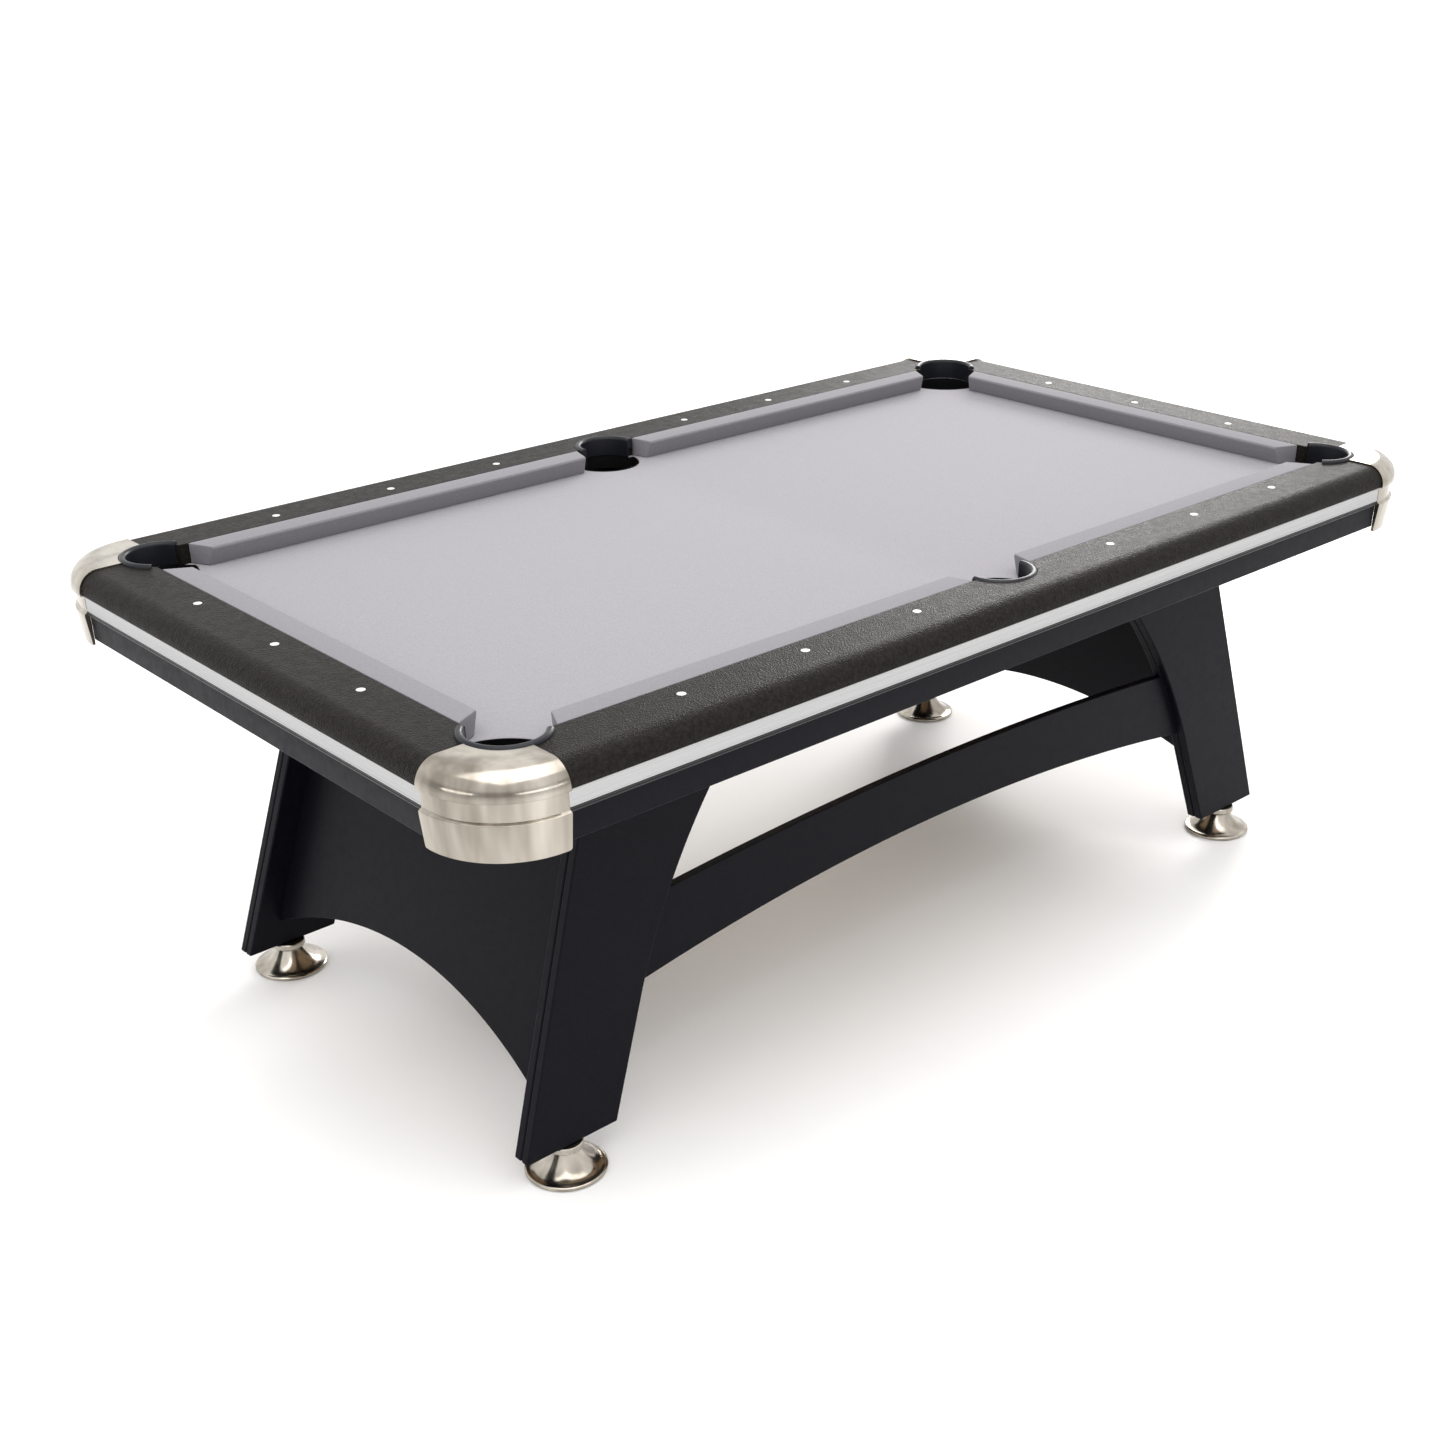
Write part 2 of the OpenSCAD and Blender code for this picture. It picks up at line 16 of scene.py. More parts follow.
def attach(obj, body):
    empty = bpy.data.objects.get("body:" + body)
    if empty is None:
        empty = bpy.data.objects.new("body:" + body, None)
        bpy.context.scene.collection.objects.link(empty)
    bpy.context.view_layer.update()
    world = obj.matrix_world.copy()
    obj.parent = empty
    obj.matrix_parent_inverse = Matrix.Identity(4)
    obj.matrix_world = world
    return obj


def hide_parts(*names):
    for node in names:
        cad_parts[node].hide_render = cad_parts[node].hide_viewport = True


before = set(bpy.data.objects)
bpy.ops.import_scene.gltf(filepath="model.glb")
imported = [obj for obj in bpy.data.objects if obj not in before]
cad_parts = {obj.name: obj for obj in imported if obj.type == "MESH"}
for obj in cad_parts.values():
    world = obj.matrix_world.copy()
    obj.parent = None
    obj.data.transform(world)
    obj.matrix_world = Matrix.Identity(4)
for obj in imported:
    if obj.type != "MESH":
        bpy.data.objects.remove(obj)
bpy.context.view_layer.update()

# ---- sizes, as in the CAD ----

HL, HW = 1125.0, 644.0
BED_TOP = 785.0
BED_LOW = 758.8
RAIL_TOP = 821.0
RAIL_IN, NOSE_IN = 112.0, 158.0
NOSE_Z = 819.5
ROLL_R, ROLL_OUT = 35.0, 4.0
CORNER_IN, CORNER_R = 142.0, 56.0
SIDE_IN, SIDE_R = 119.0, 52.0
RIM_W, RIM_Z, SKIRT_T = 12.5, 804.0, 2.5
CREST = {"corner": 6.0, "side": 3.0}
CUP_DEPTH = {"corner": 90.0, "side": 78.0}
CUP_R = {"corner": 76.0, "side": 68.0}
CUP_SHIFT = {"corner": 3.5 * math.sqrt(2), "side": 0.0}
STRIP_Z, STRIP_H, STRIP_T = 757.0, 26.0, 4.0
BEAD_Z = 749.0
APRON_Z, APRON_T = 705.0, 20.0
CAST_LEN, CAST_R, CAST_Z, CAST_WALL = 140.0, 134.0, 694.0, 4.0
DOME_R, DOME_IN, DOME_Z = 38.0, 31.0, 786.0
LEG_Z, LEG_T, LEG_TOP = 57.0, 36.0, 698.8
LEG_X, LEG_Y = 979.0, 458.0
SPLAY, LEAN = 0.32, math.radians(4)
ARC_R, ARC_X, ARC_Z, ARC_FROM_Z = 1073.0, -284.5, -104.0, 260.0
LOW_SLOPE = 0.36
PANEL_T, PANEL_IN = 18.0, 50.0
FOOT_X, FOOT_Y, FOOT_R = 890.0, 437.0, 68.0
STUD_R, STUD_TOP = 7.95, 94.0
SIGHT_IN, SIGHT_R = 77.0, 7.0

# Where the cloth ends, inwards from the strip faces.
CLOTH_IN = STRIP_T + APRON_T + 0.5

# Where a cushion ends, at its back and at its nose: CORNER_END is measured from the strip
# face at the corner, and SIDE_END from the table's middle.
CORNER_END = (208.0, 231.0)
SIDE_END = (70.0, 83.0)

# The holes in the bed: the half width and the radii, and how much further into the table
# than the pocket's centre each arc has its own centre.
CORNER_HOLE_HALF, CORNER_HOLE_R, CORNER_HOLE_IN = 61.0, 60.0, 5.0
CORNER_MOUTH_R, CORNER_MOUTH_IN = 101.5, -43.8
SIDE_HOLE_R, SIDE_MOUTH_R, SIDE_MOUTH_IN = 56.0, 68.0, -5.0

# How a mesh is finished: the angle from which an edge stays sharp, in degrees, and the
# distance within which points are merged, in metres.
SHARP_ANGLE = 32.0
MERGE_WITHIN = 2e-6

CORNERS = {
    "near_left": (-1, -1),
    "near_right": (1, -1),
    "far_left": (-1, 1),
    "far_right": (1, 1),
}
SIDES = ("near", "far", "left", "right")


def half_of(side):
    """Half the length of a side, between the strip faces."""
    return HL if side in ("near", "far") else HW


def on_side(side, x, s, z):
    """A point given along and across one side, in the table's frame."""
    if side == "near":
        return (x, -HW + s, z)
    if side == "far":
        return (-x, HW - s, z)
    if side == "left":
        return (-HL + s, -x, z)
    return (HL - s, x, z)


def at_corner(corner, u, v, z):
    """A point given inwards from a corner's two strip faces, in the table's frame."""
    sx, sy = CORNERS[corner]
    return (sx * (HL - u), sy * (HW - v), z)


# ---- 2-D outlines ----


def arc(cx, cy, r, a0, a1, n):
    """Points on a circle from angle a0 to a1, in degrees, both ends included."""
    return [
        (
            cx + r * math.cos(math.radians(a0 + (a1 - a0) * i / n)),
            cy + r * math.sin(math.radians(a0 + (a1 - a0) * i / n)),
        )
        for i in range(n + 1)
    ]


def fillet(corners, closed=True, n=5):
    """An outline from (x, y, radius) corners, each rounded to its radius."""
    out = []
    count = len(corners)
    for i, (x, y, r) in enumerate(corners):
        if r <= 0 or (not closed and i in (0, count - 1)):
            out.append((x, y))
            continue
        here = Vector((x, y))
        a = Vector(corners[i - 1][:2]) - here
        b = Vector(corners[(i + 1) % count][:2]) - here
        da, db = a.normalized(), b.normalized()
        half = da.angle(db) / 2
        if half > math.radians(89.5):
            out.append((x, y))
            continue
        reach = min(r / math.tan(half), 0.49 * a.length, 0.49 * b.length)
        r = reach * math.tan(half)
        centre = here + (da + db).normalized() * (r / math.sin(half))
        p, q = here + da * reach - centre, here + db * reach - centre
        turn = p.angle_signed(q)
        for k in range(n + 1):
            t = -turn * k / n
            c, s = math.cos(t), math.sin(t)
            out.append((centre.x + p.x * c - p.y * s, centre.y + p.x * s + p.y * c))
    return out


# ---- meshes ----


def new_mesh(name, verts, faces):
    """A mesh from points in mm, with doubled points merged and normals outwards."""
    mesh = bpy.data.meshes.new(name)
    mesh.from_pydata([tuple(c * 0.001 for c in v) for v in verts], [], faces)
    bm = bmesh.new()
    bm.from_mesh(mesh)
    bmesh.ops.remove_doubles(bm, verts=bm.verts, dist=MERGE_WITHIN)
    bmesh.ops.recalc_face_normals(bm, faces=bm.faces)
    bm.to_mesh(mesh)
    bm.free()
    return mesh


def shade(mesh, sharp):
    """Smooth shading that keeps edges of more than sharp degrees."""
    mesh.shade_smooth()
    mesh.set_sharp_from_angle(angle=math.radians(sharp))


def put_in_scene(name, data):
    obj = bpy.data.objects.new(name, data)
    bpy.context.scene.collection.objects.link(obj)
    return obj


def make_piece(name, shape, material, replaces, body="table", sharp=SHARP_ANGLE):
    """A visible piece from a (verts, faces) shape, which stands for the CAD's nodes."""
    mesh = new_mesh(name, *shape)
    shade(mesh, sharp)
    mesh.materials.append(material)
    obj = put_in_scene(name, mesh)
    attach(obj, body)
    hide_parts(*replaces)
    return obj


def loft(rings, caps=True):
    """The (verts, faces) that join each closed ring of points to the next."""
    verts = [p for ring in rings for p in ring]
    n = len(rings[0])
    faces = []
    for i in range(len(rings) - 1):
        for j in range(n):
            k = (j + 1) % n
            faces.append((i * n + j, i * n + k, (i + 1) * n + k, (i + 1) * n + j))
    if caps:
        faces.append(tuple(range(n)))
        faces.append(tuple((len(rings) - 1) * n + j for j in range(n)))
    return verts, faces


def joined(shapes):
    """Several (verts, faces) shapes as one."""
    verts, faces = [], []
    for more_verts, more_faces in shapes:
        faces += [tuple(i + len(verts) for i in face) for face in more_faces]
        verts += more_verts
    return verts, faces


def upright(outline, z0, z1):
    """A straight solid over an outline of (x, y) points, from z0 up to z1."""
    return loft([[(x, y, z) for x, y in outline] for z in (z0, z1)])


def swept(side, section, gap=0.4):
    """A section of (s, z) points carried along a side, ending gap before the castings."""
    reach = half_of(side) - CAST_LEN - gap
    return loft([[on_side(side, x, s, z) for s, z in section] for x in (-reach, reach)])


def turned(profile, centre, a0=0.0, a1=360.0, n=96):
    """A profile of (radius, height) turned about an upright axis through centre."""
    full = a1 - a0 >= 360.0
    cx, cy = centre
    rings = []
    for i in range(n + (0 if full else 1)):
        a = math.radians(a0 + (a1 - a0) * i / n)
        rings.append([(cx + r * math.cos(a), cy + r * math.sin(a), z) for r, z in profile])
    if full:
        rings.append(rings[0])
    return loft(rings, caps=not full)


def bevel(obj, width, segments, angle):
    """Rounds edges of more than angle degrees by width, in mm."""
    mod = obj.modifiers.new("rounded_edges", "BEVEL")
    mod.width = width * 0.001
    mod.segments = segments
    mod.limit_method = "ANGLE"
    mod.angle_limit = math.radians(angle)
    mod.harden_normals = True
    mod.miter_outer = "MITER_ARC"
    return obj


def apply_modifiers(obj):
    """Turns a piece's modifiers into its own mesh."""
    graph = bpy.context.evaluated_depsgraph_get()
    mesh = bpy.data.meshes.new_from_object(obj.evaluated_get(graph))
    obj.modifiers.clear()
    old = obj.data
    obj.data = mesh
    bpy.data.meshes.remove(old)
    shade(mesh, SHARP_ANGLE)


def cut(obj, shapes):
    """Takes (verts, faces) shapes out of a piece."""
    tools = [put_in_scene("cutter", new_mesh("cutter", *shape)) for shape in shapes]
    for tool in tools:
        mod = obj.modifiers.new("cut", "BOOLEAN")
        mod.operation = "DIFFERENCE"
        mod.solver = "EXACT"
        mod.object = tool
    apply_modifiers(obj)
    even = obj.modifiers.new("even_shading", "WEIGHTED_NORMAL")
    even.keep_sharp = True
    even.weight = 100
    for tool in tools:
        mesh = tool.data
        bpy.data.objects.remove(tool)
        bpy.data.meshes.remove(mesh)
    return obj


# ---- materials ----

CLOTH_GREYS = ((0.225, 0.216, 0.236), (0.305, 0.294, 0.316))


class Look:
    """A procedural material on object coordinates."""

    def __init__(self, name, colour=None, roughness=None, metallic=0.0):
        self.material = bpy.data.materials.new(name)
        self.material.use_nodes = True
        tree = self.material.node_tree
        self.nodes, self.links = tree.nodes, tree.links
        self.shader = self.nodes["Principled BSDF"]
        self.set("Metallic", metallic)
        if colour:
            self.set("Base Color", (*colour, 1.0))
        if roughness:
            self.set("Roughness", roughness)
        self.coords = self.nodes.new("ShaderNodeTexCoord").outputs["Object"]

    def set(self, socket, value):
        """A number or colour that is the same all over the surface."""
        self.shader.inputs[socket].default_value = value

    def scaled(self, scale):
        node = self.nodes.new("ShaderNodeMapping")
        node.inputs["Scale"].default_value = scale
        self.links.new(self.coords, node.inputs["Vector"])
        return node.outputs["Vector"]

    def noise(self, scale, detail=4.0, roughness=0.5, stretch=None):
        node = self.nodes.new("ShaderNodeTexNoise")
        node.inputs["Scale"].default_value = scale
        node.inputs["Detail"].default_value = detail
        node.inputs["Roughness"].default_value = roughness
        place = self.scaled(stretch) if stretch else self.coords
        self.links.new(place, node.inputs["Vector"])
        return node.outputs["Fac"]

    def cells(self, scale):
        node = self.nodes.new("ShaderNodeTexVoronoi")
        node.feature = "SMOOTH_F1"
        node.inputs["Scale"].default_value = scale
        node.inputs["Smoothness"].default_value = 0.6
        self.links.new(self.coords, node.inputs["Vector"])
        return node.outputs["Distance"]

    def colour_between(self, value, a, b, low=0.3, high=0.7):
        """Colour that runs from a to b while value goes from low to high."""
        ramp = self.nodes.new("ShaderNodeValToRGB")
        ramp.color_ramp.elements[0].position = low
        ramp.color_ramp.elements[1].position = high
        ramp.color_ramp.elements[0].color = (*a, 1.0)
        ramp.color_ramp.elements[1].color = (*b, 1.0)
        self.links.new(value, ramp.inputs["Fac"])
        self.links.new(ramp.outputs["Color"], self.shader.inputs["Base Color"])

    def rough_between(self, value, a, b):
        """Roughness that runs from a to b over the middle of value's range."""
        node = self.nodes.new("ShaderNodeMapRange")
        ends = {"From Min": 0.3, "From Max": 0.7, "To Min": a, "To Max": b}
        for key, number in ends.items():
            node.inputs[key].default_value = number
        self.links.new(value, node.inputs["Value"])
        self.links.new(node.outputs["Result"], self.shader.inputs["Roughness"])

    def bumped(self, height, strength, distance_mm, under=None):
        """Fine relief from height, on top of the relief under where that is given."""
        node = self.nodes.new("ShaderNodeBump")
        node.inputs["Strength"].default_value = strength
        node.inputs["Distance"].default_value = distance_mm * 0.001
        self.links.new(height, node.inputs["Height"])
        if under is not None:
            self.links.new(under, node.inputs["Normal"])
        self.links.new(node.outputs["Normal"], self.shader.inputs["Normal"])
        return node.outputs["Normal"]


def cloth_look(name, tone):
    """Napped cloth; tone scales its greys, and a tone under 1 paints shade into them."""
    dark, pale = [[tone * c for c in grey] for grey in CLOTH_GREYS]
    look = Look(name, roughness=0.92)
    look.colour_between(look.noise(420.0, 6.0, 0.7), dark, pale)
    look.set("Sheen Weight", 0.12)
    look.set("Sheen Roughness", 0.45)
    look.set("Specular IOR Level", 0.2)
    soft = look.bumped(look.noise(30.0, 3.0), 0.12, 0.6)
    look.bumped(look.noise(1400.0, 3.0, 0.6), 0.35, 0.15, soft)
    return look.material


def vinyl_look():
    look = Look("black_vinyl")
    dark, pale = (0.0075, 0.0066, 0.0058), (0.018, 0.0155, 0.0135)
    look.colour_between(look.noise(160.0), dark, pale)
    look.set("Specular IOR Level", 0.15)
    look.set("IOR", 1.27)
    look.rough_between(look.noise(55.0, 4.0), 0.33, 0.43)
    soft = look.bumped(look.noise(260.0, 4.0, 0.6), 0.3, 0.3)
    look.bumped(look.cells(430.0), 1.0, 0.9, soft)
    return look.material


def board_look():
    look = Look("black_board")
    dark, pale = (0.0036, 0.0034, 0.0056), (0.0056, 0.0053, 0.0082)
    look.colour_between(look.noise(240.0), dark, pale)
    look.set("Specular IOR Level", 0.16)
    look.set("IOR", 1.3)
    look.rough_between(look.noise(70.0, 4.0), 0.36, 0.46)
    look.bumped(look.noise(520.0, 4.0, 0.55), 0.12, 0.1)
    return look.material


def rubber_look():
    look = Look("black_rubber", (0.01, 0.0105, 0.014))
    look.set("Specular IOR Level", 0.25)
    look.rough_between(look.noise(90.0, 3.0), 0.3, 0.4)
    look.bumped(look.noise(800.0, 3.0), 0.08, 0.1)
    return look.material


# Black for the cups, and for the sleeves in the holes, where it is painted shade.
def cup_and_hole_shade_look():
    look = Look("black_cup_and_hole_shade", (0.004, 0.004, 0.0045))
    look.set("Specular IOR Level", 0.1)
    look.rough_between(look.noise(120.0, 3.0), 0.55, 0.7)
    look.bumped(look.noise(900.0, 2.0), 0.15, 0.1)
    return look.material


def nickel_look():
    look = Look("warm_nickel", metallic=1.0)
    # The upright streaks of darker and lighter colour are painted reflections of the
    # studio in the polished metal.
    streaks = look.noise(1.0, 3.0, 0.55, (16.0, 16.0, 2.2))
    look.colour_between(streaks, (0.25, 0.222, 0.185), (0.5, 0.46, 0.4), 0.36, 0.62)
    look.rough_between(look.noise(60.0, 5.0, 0.6), 0.13, 0.24)
    look.bumped(look.noise(9.0, 2.0), 0.1, 1.5)
    return look.material


def strip_look():
    look = Look("brushed_strip", metallic=1.0)
    streaks = look.noise(1.0, 5.0, 0.65, (2.5, 2.5, 2600.0))
    look.colour_between(streaks, (0.33, 0.33, 0.335), (0.5, 0.5, 0.495))
    look.rough_between(streaks, 0.24, 0.4)
    look.bumped(streaks, 0.15, 0.05)
    return look.material


def bead_look():
    look = Look("black_bead", (0.01, 0.01, 0.011))
    look.rough_between(look.noise(80.0, 3.0), 0.3, 0.42)
    look.bumped(look.noise(600.0, 2.0), 0.08, 0.05)
    return look.material


def sight_look():
    look = Look("white_sight", roughness=0.3)
    look.colour_between(look.noise(300.0, 3.0), (0.56, 0.55, 0.52), (0.66, 0.65, 0.62))
    return look.material


def wood_look():
    look = Look("plain_board", roughness=0.7)
    rings = look.noise(1.0, 5.0, 0.6, (3.0, 55.0, 55.0))
    look.colour_between(rings, (0.42, 0.29, 0.17), (0.56, 0.42, 0.27))
    look.bumped(rings, 0.15, 0.3)
    return look.material


def steel_look():
    look = Look("zinc_steel", (0.56, 0.56, 0.57), metallic=1.0)
    look.rough_between(look.noise(200.0, 4.0), 0.28, 0.45)
    look.bumped(look.noise(700.0, 2.0), 0.1, 0.05)
    return look.material


# The cushions' cloth is the bed's cloth darkened to 0.74 of its greys: painted shade over
# the cushions.
CLOTH, SHADED_CUSHION_CLOTH = cloth_look("grey_cloth", 1.0), cloth_look("cushion_cloth_painted_shade", 0.74)
VINYL, BOARD = vinyl_look(), board_look()
RUBBER, CUP_AND_HOLE_SHADE, NICKEL = rubber_look(), cup_and_hole_shade_look(), nickel_look()
STRIP, BEAD, SIGHT = strip_look(), bead_look(), sight_look()
WOOD, STEEL = wood_look(), steel_look()


# ---- bed cloth ----


def bed_outline():
    """The cloth's outer edge, rounded at the corners inside the castings."""
    points = []
    for sx, sy, a in ((1, 1, 0), (-1, 1, 90), (-1, -1, 180), (1, -1, 270)):
        x, y = sx * (HL - CAST_R), sy * (HW - CAST_R)
        points += arc(x, y, CAST_R - CLOTH_IN, a, a + 90, 12)
    return points


def pocket_places():
    """(name, centre x, centre y, radius, kind) of the pockets."""
    found = []
    for name, (sx, sy) in CORNERS.items():
        x, y = sx * (HL - CORNER_IN), sy * (HW - CORNER_IN)
        found.append((name, x, y, CORNER_R, "corner"))
    for name, sy in (("near_side", -1), ("far_side", 1)):
        found.append((name, 0.0, sy * (HW - SIDE_IN), SIDE_R, "side"))
    return found


def corner_hole():
    """A corner hole as (a, b): a runs into the table from the pocket's centre."""
    half, back, mouth = CORNER_HOLE_HALF, CORNER_HOLE_IN, CORNER_MOUTH_IN
    reach = math.degrees(math.asin(half / CORNER_MOUTH_R))
    front = mouth + CORNER_MOUTH_R * math.cos(math.radians(reach))
    mouth_arc = arc(mouth, 0, CORNER_MOUTH_R, -reach + 3, reach - 3, 24)
    return fillet(
        [(back, -half, 8.0), (front, -half, 9.0)]
        + [(a, b, 0) for a, b in mouth_arc]
        + [(front, half, 9.0), (back, half, 8.0)]
        + [(a, b, 0) for a, b in arc(back, 0, CORNER_HOLE_R, 96, 264, 40)]
    )


def side_hole():
    """A side hole as (a, b), with a small step on each side of its mouth."""
    path = arc(SIDE_MOUTH_IN, 0, SIDE_MOUTH_R, -83, 83, 48)
    path += [(0.4, 65.0), (0.3, 57.0)]
    path += arc(0, 0, SIDE_HOLE_R, 97, 263, 40)
    return path + [(0.3, -57.0), (0.4, -65.0)]


def hole_outline(name, x, y, kind, grow):
    """A pocket hole's outline in the bed, set back from its edge by grow."""
    path = corner_hole() if kind == "corner" else side_hole()
    face = math.radians(pocket_facing(name))
    c, s = math.cos(face), math.sin(face)
    out = []
    for i, (a, b) in enumerate(path):
        (a0, b0), (a1, b1) = path[i - 1], path[(i + 1) % len(path)]
        length = math.hypot(a1 - a0, b1 - b0)
        a, b = a + grow * (b1 - b0) / length, b - grow * (a1 - a0) / length
        out.append((x - a * c + b * s, y - a * s - b * c))
    return out


def inside(point, outline):
    """Whether a point lies within an outline, by the crossings to one side of it."""
    x, y = point
    odd = False
    for i, (x1, y1) in enumerate(outline):
        x0, y0 = outline[i - 1]
        if (y0 > y) != (y1 > y) and x < x0 + (y - y0) * (x1 - x0) / (y1 - y0):
            odd = not odd
    return odd


def cloth_roll(radius):
    """(set-back, depth) of the rings that carry the cloth over a hole's edge."""
    turns = [math.radians(a) for a in (22.5, 45, 67.5, 90)]
    rolled = [(radius * (1 - math.sin(a)), radius * (1 - math.cos(a))) for a in turns]
    return rolled + [(0.0, 12.0), (0.0, 25.4)]


def cloth_mesh():
    """The cloth's (mesh, area): a sheet over the bed, rolled down into six holes."""
    bm = bmesh.new()
    roll_radius, off_the_edge = 3.5, 0.6

    def ring(points, z):
        return [bm.verts.new((x * 0.001, y * 0.001, z * 0.001)) for x, y in points]

    def edges_of(verts):
        return [bm.edges.new((a, b)) for a, b in zip(verts, verts[1:] + verts[:1])]

    rolls, borders = [], edges_of(ring(bed_outline(), BED_TOP))
    for name, x, y, _, kind in pocket_places():
        outline = hole_outline(name, x, y, kind, roll_radius)
        top = ring(outline, BED_TOP)
        borders += edges_of(top)
        rolls.append((top, outline, (name, x, y, kind)))
    bmesh.ops.triangle_fill(bm, edges=borders, use_beauty=True)

    def in_a_hole(face):
        middle = [c * 1000 for c in face.calc_center_median().xy]
        return any(inside(middle, outline) for _, outline, _ in rolls)

    spare = [face for face in bm.faces if in_a_hole(face)]
    bmesh.ops.delete(bm, geom=spare, context="FACES_ONLY")
    for last, _, place in rolls:
        for out, down in cloth_roll(roll_radius):
            here = ring(hole_outline(*place, out - off_the_edge), BED_TOP - down)
            for i in range(len(here)):
                j = (i + 1) % len(here)
                bm.faces.new((last[i], last[j], here[j], here[i]))
            last = here
    bmesh.ops.recalc_face_normals(bm, faces=bm.faces)
    largest = max(bm.faces, key=lambda f: f.calc_area())
    if largest.normal.z < 0:
        bmesh.ops.reverse_faces(bm, faces=bm.faces)
    area = sum(f.calc_area() for f in bm.faces)
    mesh = bpy.data.meshes.new("bed_cloth_laid")
    bm.to_mesh(mesh)
    bm.free()
    return mesh, area


def make_bed_cloth():
    """Cloth stretched over the bed and rolled down into the pocket holes."""
    mesh, area = cloth_mesh()
    shade(mesh, 60.0)
    mesh.materials.append(CLOTH)
    obj = put_in_scene("bed_cloth_laid", mesh)
    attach(obj, "table")
    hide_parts("bed_cloth")


# ---- rails ----


def rail_section():
    """A rail's outline as (s, z), rounded on its outer edge."""
    cx, cz = ROLL_R - ROLL_OUT, RAIL_TOP - ROLL_R
    low = math.degrees(math.asin((BED_TOP + 0.4 - cz) / ROLL_R))
    points = arc(cx, cz, ROLL_R, 180 - low, 90, 30)
    points += fillet(
        [(cx + 2, RAIL_TOP, 0), (RAIL_IN, RAIL_TOP, 1.6), (RAIL_IN, BED_TOP + 0.4, 0)],
        closed=False,
    )[1:]
    return points


def pocket_facing(name):
    """The direction from a pocket's centre out of the table, in degrees."""
    if name in CORNERS:
        sx, sy = CORNERS[name]
        return math.degrees(math.atan2(sy, sx))
    return -90.0 if name == "near_side" else 90.0


def rim_span(kind):
    """How far a rim runs round its pocket, in degrees."""
    return 192.0 if kind == "corner" else 184.0


def circle(x, y, r):
    return arc(x, y, r, 0, 360, 128)[:-1]


def rim_cutters(names):
    """What a rim's skirt and its crest take out of a rail, with a little room."""
    shapes = []
    for name, x, y, r, kind in pocket_places():
        if name not in names:
            continue
        face, half = pocket_facing(name), rim_span(kind) / 2 + 0.4
        skirt = circle(x, y, r + SKIRT_T + 0.15)
        crest = [(x, y)] + arc(x, y, r + RIM_W + 0.1, face - half, face + half, 96)
        shapes.append(upright(skirt, BED_TOP - 5, RAIL_TOP + 10))
        shapes.append(upright(crest, RIM_Z, RAIL_TOP + 11))
    return shapes


RAIL_POCKETS = {
    "near": ("near_left", "near_side", "near_right"),
    "far": ("far_left", "far_side", "far_right"),
    "left": ("near_left", "far_left"),
    "right": ("near_right", "far_right"),
}


def make_rail(side):
    """A padded rail covered in vinyl, cut round for its pocket rims."""
    shape = swept(side, rail_section(), gap=0.3)
    obj = make_piece(side + "_rail_cover", shape, VINYL, [side + "_rail"])
    bevel(obj, 0.8, 2, 60.0)
    cut(obj, rim_cutters(RAIL_POCKETS[side]))


def sight_places(side):
    """Places of the sights: at eighths of the play's length and quarters of its width."""
    if side in ("near", "far"):
        return [i * (2 * (HL - NOSE_IN) / 8) for i in (-3, -2, -1, 1, 2, 3)]
    return [i * (2 * (HW - NOSE_IN) / 4) for i in (-1, 0, 1)]


def make_sights():
    """Slightly domed discs let into the rails, as one piece."""
    low, rim, shoulder, slope, top = (RAIL_TOP + z for z in (-1.0, 0.05, 0.3, 0.42, 0.45))
    profile = [(0, low), (SIGHT_R, low), (SIGHT_R, rim)]
    profile += [(SIGHT_R - 0.5, shoulder), (SIGHT_R - 2.5, slope), (0, top)]
    discs = []
    for side in SIDES:
        for x in sight_places(side):
            discs.append(turned(profile, on_side(side, x, SIGHT_IN, 0)[:2], n=40))
    make_piece("sight_inlays", joined(discs), SIGHT, ["sights"])


# ---- cushions ----


def cushion_section():
    """A cushion's outline as (s, z), from its back to the nose and over the top."""
    return fillet(
        [
            (RAIL_IN + 0.3, BED_TOP + 0.3, 0.5),
            (NOSE_IN - 11, BED_TOP + 0.3, 1.0),
            (NOSE_IN, NOSE_Z - 3.5, 2.0),
            (NOSE_IN - 1.2, NOSE_Z + 0.7, 2.6),
            (RAIL_IN + 0.3, RAIL_TOP, 1.4),
        ]
    )


def make_cushion(name, side, start, end):
    """A cushion between slanted ends, each given as (x at its back, x at its nose)."""
    section = cushion_section()
    mid_s = sum(s for s, _ in section) / len(section)
    mid_z = sum(z for _, z in section) / len(section)
    rounding, steps = 2.6, 5

    def ring(slant, sign, k):
        """The section near one end, k steps back from its rounded edge."""
        a = math.radians(90.0 * k / steps)
        shrink, pull = rounding * (1 - math.cos(a)), rounding * (1 - math.sin(a))
        back, nose = slant
        out = []
        for s, z in section:
            keep = 1 - shrink / math.hypot(s - mid_s, z - mid_z)
            s, z = mid_s + (s - mid_s) * keep, mid_z + (z - mid_z) * keep
            x = back + (nose - back) * (s - RAIL_IN) / (NOSE_IN - RAIL_IN)
            out.append(on_side(side, x - sign * pull, s, z))
        return out

    rings = [ring(start, -1, k) for k in range(steps, -1, -1)]
    rings += [ring(end, 1, k) for k in range(steps + 1)]
    return make_piece(name + "_cover", loft(rings), SHADED_CUSHION_CLOTH, [name])


def make_cushions():
    """Two cushions on each long side and one on each end."""

    def mirrored(pair):
        return [-x for x in pair]

    long_end = [HL - x for x in CORNER_END]
    short_end = [HW - x for x in CORNER_END]
    first_half = (mirrored(long_end), mirrored(SIDE_END))
    second_half = (SIDE_END, long_end)
    made = [
        make_cushion("near_left_cushion", "near", *first_half),
        make_cushion("near_right_cushion", "near", *second_half),
        make_cushion("far_right_cushion", "far", *first_half),
        make_cushion("far_left_cushion", "far", *second_half),
        make_cushion("left_cushion", "left", mirrored(short_end), short_end),
        make_cushion("right_cushion", "right", mirrored(short_end), short_end),
    ]


# ---- pockets ----


